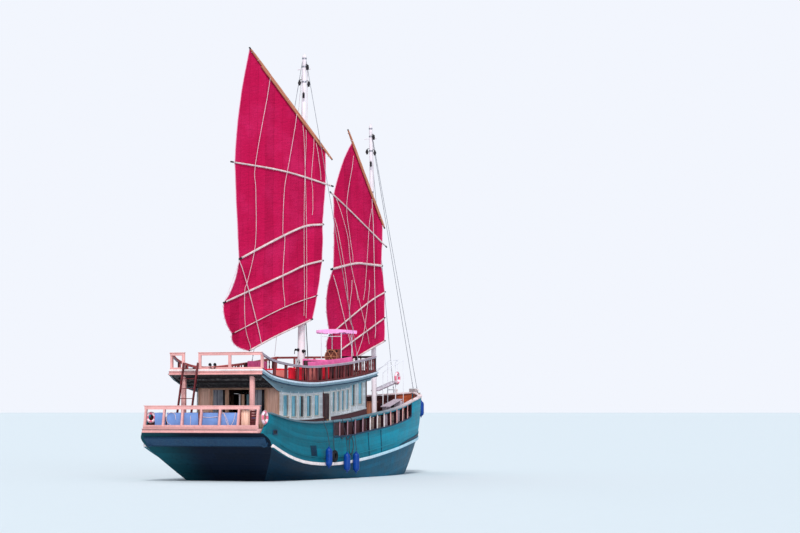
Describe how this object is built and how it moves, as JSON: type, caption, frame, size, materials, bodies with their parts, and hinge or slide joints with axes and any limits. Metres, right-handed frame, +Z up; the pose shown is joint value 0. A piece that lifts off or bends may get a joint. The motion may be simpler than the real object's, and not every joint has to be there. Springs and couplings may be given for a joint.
{
  "type": "chinese junk ship",
  "caption": "Two-masted wooden junk with raked transom, swept sheer, deck house under an open upper deck, and two battened sails that swing about their masts.",
  "frame": {"origin": "on the centreline at the waterline, amidships", "axes": "+X towards the bow, +Y to port, +Z up"},
  "size_m": [23.98, 6.7416, 21.1797],
  "materials": {
    "hull_paint": "weathered gloss paint on planks",
    "bottom_paint": "matt bottom paint",
    "white_paint": "weathered white paint",
    "house_paint": "grey-blue paint on boards",
    "varnished_wood": "worn varnish",
    "rail_wood": "salmon stained wood",
    "deck_wood": "sun-bleached planks",
    "dark_wood": "dark stained wood",
    "spar_wood": "pale painted poles",
    "mast_paint": "white gloss",
    "sailcloth": "crimson woven cloth",
    "wire": "galvanised wire",
    "awning_cloth": "pink canvas",
    "red_cushion": "red and pink covers",
    "blue_cushion": "blue covers",
    "tube": "white painted tube",
    "fender_skin": "navy vinyl",
    "glazing": "tinted glass",
    "bronze": "dull bronze"
  },
  "bodies": {
    "boat": {"hull": "hull_paint", "keel": "bottom_paint", "stem_post": "hull_paint", "wale_starboard": "white_paint", "wale_port": "white_paint", "bulwark_starboard": "hull_paint", "bulwark_port": "hull_paint", "cap_rail_starboard": "white_paint", "cap_rail_port": "white_paint", "aft_platform": "rail_wood", "aft_rail": "rail_wood", "cabin_wall_starboard": "house_paint", "cabin_wall_port": "house_paint", "cabin_wall_aft": "varnished_wood", "cabin_wall_fore": "house_paint", "cabin_glass_starboard": "glazing", "cabin_glass_port": "glazing", "cabin_glass_fore": "glazing", "cabin_glass_aft": "glazing", "aft_door_track": "varnished_wood", "upper_deck": "deck_wood", "upper_rail_starboard": "rail_wood", "upper_rail_port": "rail_wood", "overhang_post_starboard": "rail_wood", "overhang_post_port": "rail_wood", "ladder": "rail_wood", "aft_bench": "varnished_wood", "aft_cushion": "blue_cushion", "upper_bench": "varnished_wood", "upper_cushion": "red_cushion", "main_mast": "mast_paint", "fore_mast": "mast_paint", "fore_stay": "wire", "fore_shroud_starboard": "wire", "fore_shroud_port": "wire", "main_shroud_starboard": "wire", "main_shroud_port": "wire", "helm_console": "varnished_wood", "awning_frame": "tube", "awning": "awning_cloth", "hatch_coaming": "varnished_wood", "windlass": "dark_wood", "boarding_plank": "tube", "fender_1": "fender_skin", "fender_2": "fender_skin", "fender_3": "fender_skin", "fender_4": "fender_skin"},
    "main_rig": {"main_sail": "sailcloth", "main_yard": "spar_wood", "main_boom": "spar_wood"},
    "fore_rig": {"fore_sail": "sailcloth", "fore_yard": "spar_wood", "fore_boom": "spar_wood"},
    "rudder_body": {"rudder": "bottom_paint"},
    "wheel": {"helm_wheel": "varnished_wood"},
    "screw": {"propeller": "bronze"},
    "aft_door_leaf": {"aft_door": "varnished_wood"},
    "starboard_door_leaf": {"side_door_starboard": "dark_wood"},
    "port_door_leaf": {"side_door_port": "dark_wood"},
    "lid": {"hatch_lid": "varnished_wood"}
  },
  "joints": [
    {"name": "main_sail_swing", "type": "hinge", "parent": "boat", "child": "main_rig", "pos_m": [-0.59, 0, 0], "axis": [0.0209, 0, 0.9998], "range_deg": [-15, 75]},
    {"name": "fore_sail_swing", "type": "hinge", "parent": "boat", "child": "fore_rig", "pos_m": [8.16, 0, 0], "axis": [-0.0349, 0, 0.9994], "range_deg": [-27, 63]},
    {"name": "rudder_turn", "type": "hinge", "parent": "boat", "child": "rudder_body", "pos_m": [-7.25, 0, -1.2], "axis": [0, 0, 1], "range_deg": [-35, 35]},
    {"name": "helm_turn", "type": "hinge", "parent": "boat", "child": "wheel", "pos_m": [1.17, -0.75, 5.4995], "axis": [1, 0, 0], "range_deg": [-360, 360]},
    {"name": "propeller_spin", "type": "hinge", "parent": "boat", "child": "screw", "pos_m": [-6, 0, -1.26], "axis": [1, 0, 0], "continuous": true},
    {"name": "aft_door_slide", "type": "slide", "parent": "boat", "child": "aft_door_leaf", "axis": [0, -1, 0], "range_m": [0, 1.06]},
    {"name": "starboard_door_swing", "type": "hinge", "parent": "boat", "child": "starboard_door_leaf", "pos_m": [-2.398, -2.24517, 2.8], "axis": [0, 0, 1], "range_deg": [0, 100]},
    {"name": "port_door_swing", "type": "hinge", "parent": "boat", "child": "port_door_leaf", "pos_m": [-2.398, 2.24517, 2.8], "axis": [0, 0, -1], "range_deg": [0, 100]},
    {"name": "hatch_lid_lift", "type": "hinge", "parent": "boat", "child": "lid", "pos_m": [5.478, 0, 2.7823], "axis": [0, 1, 0], "range_deg": [0, 100]}
  ],
  "couplings": [
    {"joint": "helm_turn", "follows": "rudder_turn", "ratio": 10}
  ]
}
